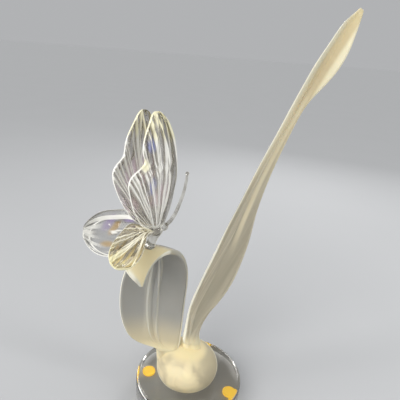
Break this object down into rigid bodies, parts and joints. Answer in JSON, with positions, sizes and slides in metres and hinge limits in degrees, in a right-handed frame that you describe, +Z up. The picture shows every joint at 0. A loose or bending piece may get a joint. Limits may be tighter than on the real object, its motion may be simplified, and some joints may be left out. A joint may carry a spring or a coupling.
{
  "type": "butterfly ornament",
  "caption": "Free-standing glass ornament: a ribbed clear butterfly perches on a curled frosted leaf beside a tall twisted blade of grass, on a frosted mound and a clear round base.",
  "frame": {"origin": "on the standing plane, under the middle of the round base", "axes": "+Z up, +X to the right for a viewer who faces the leaf's rolled side, +Y away from that viewer; the blade of grass leans towards +X"},
  "size_m": [0.1776, 0.0969, 0.3142],
  "materials": {
    "clear_base": "polished",
    "yellow_pad": "satin",
    "glue_film": "clear",
    "frosted_mound": "frosted",
    "frosted_leaf": "frosted",
    "frosted_blade": "frosted",
    "clear_glass": "polished",
    "ribbed_wing": "polished",
    "bowl_wing": "polished"
  },
  "bodies": {
    "root": {"base_disc": "clear_base", "rest_pad_1": "yellow_pad", "rest_pad_2": "yellow_pad", "rest_pad_3": "yellow_pad", "rest_pad_4": "yellow_pad", "bond_disc": "glue_film", "mound": "frosted_mound", "curled_leaf": "frosted_leaf", "blade_leaf": "frosted_blade", "perch_stem": "clear_glass", "butterfly_body": "clear_glass", "butterfly_head": "clear_glass", "antenna_right": "clear_glass", "antenna_left": "clear_glass", "forewing_right": "ribbed_wing", "forewing_left": "ribbed_wing", "hindwing_right": "ribbed_wing", "hindwing_left": "bowl_wing"}
  },
  "joints": []
}
